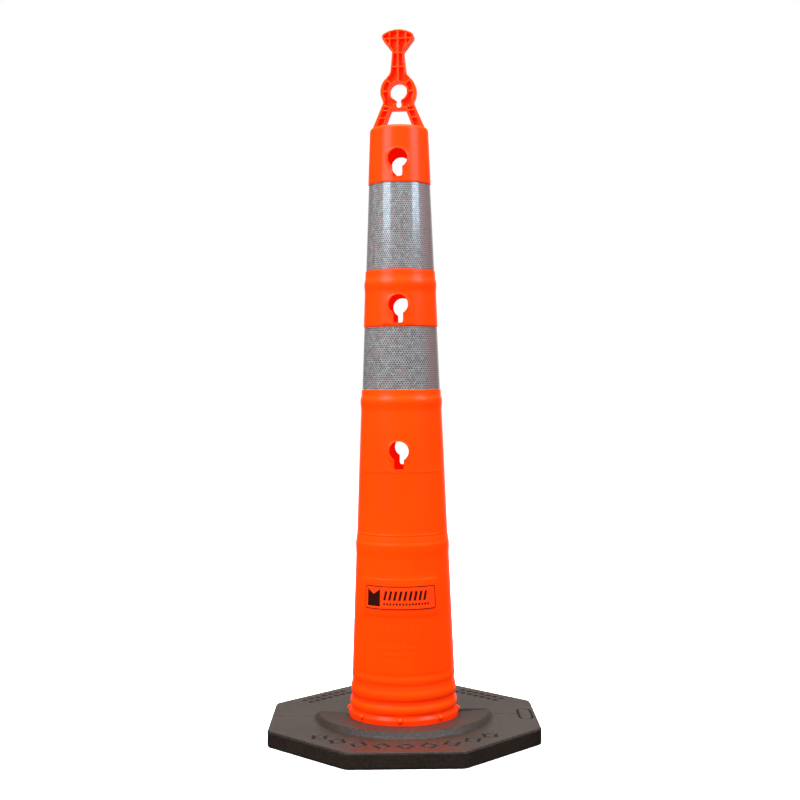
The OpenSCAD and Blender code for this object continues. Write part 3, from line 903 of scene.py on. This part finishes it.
def feed(tree, node, **inputs):
    """Links a socket to each named input, or sets the input's value; i2 is input number 2."""
    for key, value in inputs.items():
        number = key[1:]
        socket = node.inputs[int(number) if number.isdigit() else key.replace("_", " ")]
        if isinstance(value, bpy.types.NodeSocket):
            tree.links.new(value, socket)
        else:
            socket.default_value = value


def add(tree, kind, settings=None, **inputs):
    """Adds a shader node with its settings and inputs."""
    node = tree.nodes.new("ShaderNode" + kind)
    for key, value in (settings or {}).items():
        setattr(node, key, value)
    feed(tree, node, **inputs)
    return node


def math_node(tree, operation, a, b=0.0, c=0.0, clamp=False):
    settings = {"operation": operation, "use_clamp": clamp}
    return add(tree, "Math", settings, i0=a, i1=b, i2=c).outputs[0]


def product(tree, a, b):
    return math_node(tree, "MULTIPLY", a, b)


def vector_math(tree, operation, a, b=(0.0, 0.0, 0.0)):
    node = add(tree, "VectorMath", {"operation": operation}, i0=a, i1=b)
    return node.outputs["Value" if operation == "LENGTH" else "Vector"]


def noise(tree, coords, scale, detail=2.0, roughness=0.5):
    return add(tree, "TexNoise", None, Vector=coords, Scale=scale, Detail=detail,
               Roughness=roughness).outputs["Fac"]


def ramp(tree, value, low, high, to_low=0.0, to_high=1.0):
    return add(tree, "MapRange", {"interpolation_type": "SMOOTHSTEP"}, Value=value, From_Min=low,
               From_Max=high, To_Min=to_low, To_Max=to_high).outputs[0]


def fade(tree, length, low, high):
    """Runs from 1 to 0 between two lengths in millimetres."""
    return ramp(tree, length, low * MM, high * MM, 1.0, 0.0)


def mix_colour(tree, fac, a, b):
    return add(tree, "Mix", {"data_type": "RGBA"}, i0=fac, i6=a, i7=b).outputs[2]


def bump(tree, height, strength, distance, normal=None):
    below = {"Normal": normal} if normal else {}
    return add(tree, "Bump", None, Height=height, Strength=strength, Distance=distance,
               **below).outputs[0]


def stretched(tree, coords, scale):
    return add(tree, "Mapping", None, Vector=coords, Scale=scale).outputs[0]


def orange_plastic():
    """Blow-moulded fluorescent polyethylene: soft waviness, fine peel, light scuffs, painted shade
    in the foot's grooves and round the foot, and a faint red emission that paints light into the shaded
    hollows."""
    material, tree, shader, place = new_material("orange_polyethylene")
    broad = noise(tree, place, 6.0, 3.0)
    wave = noise(tree, stretched(tree, place, (1, 1, 0.35)), 28.0, 2.0)
    peel = noise(tree, place, 1100.0, 2.0, 0.6)
    scuff = ramp(tree, noise(tree, stretched(tree, place, (1, 1, 0.12)), 260.0, 4.0, 0.7), 0.62, 0.74)
    colour = mix_colour(tree, ramp(tree, broad, 0.3, 0.7),
                        (0.94, 0.036, 0.0, 1), (0.98, 0.043, 0.0, 1))
    height = add(tree, "SeparateXYZ", None, Vector=place).outputs[2]
    colour = mix_colour(tree, ramp(tree, height, 0.3, 1.0, 0.0, 0.6), colour, (0.96, 0.025, 0.0, 1))
    colour = mix_colour(tree, product(tree, scuff, 0.12), colour, (1.0, 0.09, 0.005, 1))
    radius = vector_math(tree, "LENGTH", stretched(tree, place, (1, 1, 0)))
    groove_r = math_node(tree, "MULTIPLY_ADD", height, -RIB_SLOPE,
                         (LOW_R - RIB_SUNK + RIB_TOP * RIB_SLOPE) * MM)
    above_groove = math_node(tree, "SUBTRACT", radius, groove_r)
    # Painted shade: the rib grooves and the foot below the ribs are darkened to deep red where shade
    # falls; the lugs are left out of it.
    in_groove = product(tree, fade(tree, above_groove, 0.3, 1.8), fade(tree, height, 82, 106))
    on_foot = product(tree, fade(tree, height, RIB_LOW, RIB_LOW + 4),
                      fade(tree, radius, FOOT_R + 0.4, FOOT_R + 1.8))
    painted_foot_shade = product(tree, math_node(tree, "MAXIMUM", in_groove, on_foot), 0.7)
    colour = mix_colour(tree, painted_foot_shade, colour, (0.56, 0.014, 0.0, 1))
    rough = ramp(tree, peel, 0.2, 0.8, 0.25, 0.32)
    rough = math_node(tree, "ADD", rough, product(tree, scuff, 0.12))
    normal = bump(tree, wave, 0.35, 0.0012)
    normal = bump(tree, peel, 0.12, 0.00012, normal)
    # The red emission is a painted glow: a fixed faint light that brightens the shaded keyhole insides
    # and hollows.
    feed(tree, shader, Base_Color=colour, Roughness=rough, Normal=normal,
         IOR=1.5, Specular_IOR_Level=0.12, Emission_Color=(1.0, 0.018, 0.0, 1),
         Emission_Strength=0.155)
    return material


def reflective_sheeting():
    """Prismatic sheeting: dark dots in a hexagonal pattern over patchy grey, with rosy patches that are
    partly wear and partly painted sheen, and a painted rosy sheen to the right of the front, under a
    glossy clear film."""
    material, tree, shader, place = new_material("prismatic_sheeting")
    split = add(tree, "SeparateXYZ", None, Vector=place).outputs
    around = math_node(tree, "ARCTAN2", split[0], product(tree, split[1], -1.0))
    arc_length = product(tree, around, BAND_MEAN_R * MM)
    flat = add(tree, "CombineXYZ", None, X=arc_length, Y=split[2]).outputs[0]
    pitch = CELL_PITCH * MM
    cell = (pitch, pitch * math.sqrt(3), 1.0)
    distances = []
    for shift in (0.0, 0.5):
        scaled = vector_math(tree, "DIVIDE", flat, cell)
        inside = vector_math(tree, "FRACTION", vector_math(tree, "ADD", scaled, (shift, shift, 0)))
        centred = vector_math(tree, "SUBTRACT", inside, (0.5, 0.5, 0))
        back = vector_math(tree, "MULTIPLY", centred, (cell[0], cell[1], 0))
        distances.append(vector_math(tree, "LENGTH", back))
    nearest = math_node(tree, "MINIMUM", *distances)
    dot = fade(tree, nearest, 1.0, 1.7)
    blotch = ramp(tree, noise(tree, flat, 70.0, 1.0), 0.35, 0.65)
    tile = noise(tree, flat, 190.0, 0.0)
    light = mix_colour(tree, blotch, (0.143, 0.128, 0.122, 1), (0.196, 0.181, 0.175, 1))
    light = mix_colour(tree, ramp(tree, tile, 0.52, 0.68), light, (0.258, 0.236, 0.224, 1))
    # Painted rosy sheen on the side towards the right of the front, set by the angle round the shaft.
    from_right = math_node(tree, "ABSOLUTE", math_node(tree, "SUBTRACT", around, 1.15))
    painted_right_sheen = ramp(tree, from_right, 0.55, 0.2)
    # Rosy patches: partly wear, partly painted sheen, joined with the painted sheen on the right.
    rosy_wear_and_sheen = ramp(tree, noise(tree, flat, 60.0, 3.0, 0.6), 0.48, 0.7, 0.0, 0.75)
    rosy_wear_and_sheen = math_node(tree, "MAXIMUM", rosy_wear_and_sheen, product(tree, painted_right_sheen, 0.8))
    light = mix_colour(tree, rosy_wear_and_sheen, light, (0.235, 0.136, 0.128, 1))
    colour = mix_colour(tree, product(tree, dot, 0.92), light, (0.028, 0.027, 0.028, 1))
    normal = bump(tree, noise(tree, flat, 22.0, 2.0), 0.3, 0.0008)
    feed(tree, shader, Base_Color=colour, Roughness=0.42, Normal=normal, IOR=1.5,
         Specular_IOR_Level=0.3, Coat_Weight=1.0, Coat_Roughness=0.12)
    return material


def printed_film():
    """Smooth orange film under the print."""
    material, tree, shader, place = new_material("orange_film")
    fine = noise(tree, place, 500.0, 2.0)
    colour = mix_colour(tree, ramp(tree, noise(tree, place, 30.0), 0.3, 0.7),
                        (0.92, 0.034, 0.0, 1), (0.96, 0.040, 0.0, 1))
    feed(tree, shader, Base_Color=colour, Roughness=ramp(tree, fine, 0.2, 0.8, 0.3, 0.38),
         Normal=bump(tree, fine, 0.08, 0.0001), IOR=1.5, Specular_IOR_Level=0.3)
    return material


def dark_ink():
    """Nearly black ink, a little patchy."""
    material, tree, shader, place = new_material("dark_ink")
    patchy = ramp(tree, noise(tree, place, 420.0, 3.0, 0.65), 0.35, 0.75)
    colour = mix_colour(tree, product(tree, patchy, 0.35),
                        (0.018, 0.002, 0.001, 1), (0.06, 0.004, 0.001, 1))
    feed(tree, shader, Base_Color=colour, Roughness=ramp(tree, patchy, 0, 1, 0.4, 0.55),
         IOR=1.5, Specular_IOR_Level=0.15)
    return material


def base_rubber():
    """Pressed recycled rubber: crumbs of several browns, light dust, and painted shade in the
    upward-facing hollows.
    """
    material, tree, shader, place = new_material("pressed_rubber")
    crumbs = add(tree, "TexVoronoi", None, Vector=place, Scale=420.0)
    tone = add(tree, "SeparateColor", None, Color=crumbs.outputs["Color"]).outputs[0]
    broad = noise(tree, place, 14.0, 4.0)
    fine = noise(tree, place, 900.0, 3.0, 0.65)
    colour = mix_colour(tree, ramp(tree, broad, 0.3, 0.7),
                        (0.0140, 0.0080, 0.0050, 1), (0.0185, 0.0108, 0.0070, 1))
    colour = mix_colour(tree, ramp(tree, tone, 0.72, 0.9), colour, (0.024, 0.0175, 0.0140, 1))
    colour = mix_colour(tree, ramp(tree, tone, 0.06, 0.02), colour, (0.028, 0.013, 0.008, 1))
    dust = ramp(tree, noise(tree, place, 55.0, 5.0, 0.7), 0.55, 0.8)
    colour = mix_colour(tree, product(tree, dust, 0.2), colour, (0.030, 0.025, 0.022, 1))
    height = add(tree, "SeparateXYZ", None, Vector=place).outputs[2]
    low_down = ramp(tree, height, (SLAB_TOP - 0.5) * MM, (SLAB_TOP - 1.5) * MM)
    facing = add(tree, "SeparateXYZ", None, Vector=add(tree, "NewGeometry").outputs["Normal"])
    # Painted shade: upward-facing surfaces below the slab's top, the engraved marks' floors and the
    # prying notch, are darkened to near black and made rougher.
    painted_hollow_shade = product(tree, low_down, ramp(tree, facing.outputs[2], 0.3, 0.8))
    colour = mix_colour(tree, product(tree, painted_hollow_shade, 0.8), colour, (0.002, 0.0014, 0.001, 1))
    rough = ramp(tree, fine, 0.25, 0.75, 0.32, 0.46)
    rough = math_node(tree, "ADD", rough, product(tree, painted_hollow_shade, 0.5), clamp=True)
    on_pad = ramp(tree, height, (SLAB_TOP + 1) * MM, (SLAB_TOP + 4) * MM)
    rough = math_node(tree, "ADD", rough, product(tree, on_pad, 0.16), clamp=True)
    normal = bump(tree, noise(tree, place, 120.0, 3.0), 0.4, 0.0008)
    normal = bump(tree, crumbs.outputs["Distance"], 0.5, 0.0008, normal)
    normal = bump(tree, fine, 0.5, 0.0004, normal)
    feed(tree, shader, Base_Color=colour, Roughness=rough, Normal=normal, IOR=1.5,
         Specular_IOR_Level=0.5)
    return material


def floor_paint():
    """Pale floor, very slightly uneven."""
    material, tree, shader, place = new_material("studio_floor")
    colour = mix_colour(tree, noise(tree, place, 2.0), (0.84, 0.84, 0.84, 1), (0.86, 0.86, 0.86, 1))
    feed(tree, shader, Base_Color=colour, Roughness=0.7)
    return material


# ======== studio
CAMERA_AZIMUTH = math.radians(3.9)
CAMERA_DISTANCE = 2.362
CAMERA_HEIGHT = 0.637
CAMERA_DOWN = math.radians(1.08)
CAMERA_ROLL = math.radians(-0.47)
CAMERA_YAW = math.radians(0.055)
CAMERA_LENS = 59.6
FLOOR_HALF = 9000.0
FLOOR_DROP = 0.0002


def build_camera():
    """A camera in front of the cone, a little to the right, at half the cone's height."""
    data = bpy.data.cameras.new("camera")
    data.sensor_width = 36.0
    data.lens = CAMERA_LENS
    data.clip_end = 100.0
    camera = bpy.data.objects.new("camera", data)
    camera.matrix_world = (
        Matrix.Translation((CAMERA_DISTANCE * math.sin(CAMERA_AZIMUTH),
                            -CAMERA_DISTANCE * math.cos(CAMERA_AZIMUTH), CAMERA_HEIGHT))
        @ Matrix.Rotation(CAMERA_AZIMUTH + CAMERA_YAW, 4, "Z")
        @ Matrix.Rotation(math.pi / 2 - CAMERA_DOWN, 4, "X")
        @ Matrix.Rotation(CAMERA_ROLL, 4, "Z"))
    bpy.context.scene.collection.objects.link(camera)
    bpy.context.scene.camera = camera


def area_light(name, azimuth, distance, height, width, tall, power, colour=(1, 1, 1), aim=0.6,
               diffuse=True, glossy=True):
    """A soft light round the shaft, at an azimuth from the front, that faces the shaft."""
    data = bpy.data.lights.new(name, "AREA")
    data.shape = "RECTANGLE"
    data.size = width
    data.size_y = tall
    data.energy = power
    data.color = colour
    light = bpy.data.objects.new(name, data)
    a = math.radians(azimuth)
    light.location = (distance * math.sin(a), -distance * math.cos(a), height)
    toward = Vector((0, 0, aim)) - light.location
    light.rotation_euler = toward.to_track_quat("-Z", "Y").to_euler()
    light.visible_diffuse = diffuse
    light.visible_glossy = glossy
    bpy.context.scene.collection.objects.link(light)


def studio_world():
    """A white backdrop: light grows from the floor to the zenith, and glossy surfaces see
    only the part of it that stands behind the object."""
    world = bpy.data.worlds.new("studio")
    world.use_nodes = True
    tree = world.node_tree
    tree.nodes.clear()
    path = add(tree, "LightPath").outputs
    way = add(tree, "SeparateXYZ", None, Vector=add(tree, "TexCoord").outputs["Generated"]).outputs
    soft = ramp(tree, way[2], -0.15, 0.9, 0.15, 1.6)
    behind = product(tree, ramp(tree, way[1], 0.75, 0.95), ramp(tree, way[2], 0.3, 0.7, 0.55, 0.0))
    strength = add(tree, "Mix", {"data_type": "FLOAT"}, i0=path["Is Glossy Ray"], i2=soft,
                   i3=behind).outputs[0]
    lit = add(tree, "Background", None, Color=(1, 1, 1, 1), Strength=strength).outputs[0]
    plain = add(tree, "Background", None, Color=(1, 1, 1, 1), Strength=1.0).outputs[0]
    mixed = add(tree, "MixShader", None, i0=path["Is Camera Ray"], i1=lit, i2=plain).outputs[0]
    add(tree, "OutputWorld", None, Surface=mixed)
    return world


def build_studio():
    """The floor, the backdrop and the lights."""
    corners = [(FLOOR_HALF * x, FLOOR_HALF * y, 0) for x, y in ((-1, -1), (1, -1), (1, 1), (-1, 1))]
    floor = make_object("floor", corners, [(0, 1, 2, 3)])
    floor.location.z = -FLOOR_DROP
    floor.data.materials.append(floor_paint())
    floor.visible_diffuse = False
    floor.visible_glossy = False
    bpy.context.scene.world = studio_world()
    area_light("overhead", 0, 0.0, 3.5, 3.0, 3.0, 480, aim=0.0, glossy=False)
    area_light("overhead_glow", 0, 0.2, 3.0, 1.6, 1.6, 26, (0.8, 0.92, 1.0), aim=0.0, diffuse=False)
    area_light("key", -40, 3.0, 2.0, 2.0, 2.0, 66, aim=0.8, glossy=False)
    area_light("strip_left", -44, 2.0, 2.0, 1.1, 1.5, 56, (0.62, 0.83, 1.0), aim=1.2)
    area_light("strip_right", 64, 2.0, 2.0, 1.1, 1.5, 58, (0.62, 0.83, 1.0), aim=1.2)
    bpy.context.scene.view_settings.view_transform = "Standard"


# ======== assembly
def fit(piece, body, slot, material, *nodes):
    """Gives a piece its material and its body, and hides the CAD nodes that it stands in for; slot is
    not used.
    """
    piece.data.materials.clear()
    piece.data.materials.append(material)
    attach(piece, body)
    if nodes:
        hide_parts(*nodes)


build_camera()
build_studio()
orange = orange_plastic()
sheeting = reflective_sheeting()
rubber = base_rubber()
fit(build_shaft(), "cone", "orange_plastic", orange, "cone_shaft")
fit(build_handle(), "cone", "orange_plastic", orange, "grab_handle")
fit(build_band("upper"), "cone", "reflective_sheeting", sheeting, "upper_reflective_band")
fit(build_band("lower"), "cone", "reflective_sheeting", sheeting, "lower_reflective_band")
fit(build_panel_film(), "cone", "printed_film", printed_film(), "printed_panel")
fit(build_panel_print(), "cone", "printed_film", dark_ink())
fit(build_base_half(True), "base_front", "base_rubber", rubber, "base_front_half")
fit(build_base_half(False), "base_rear", "base_rubber", rubber, "base_rear_half")
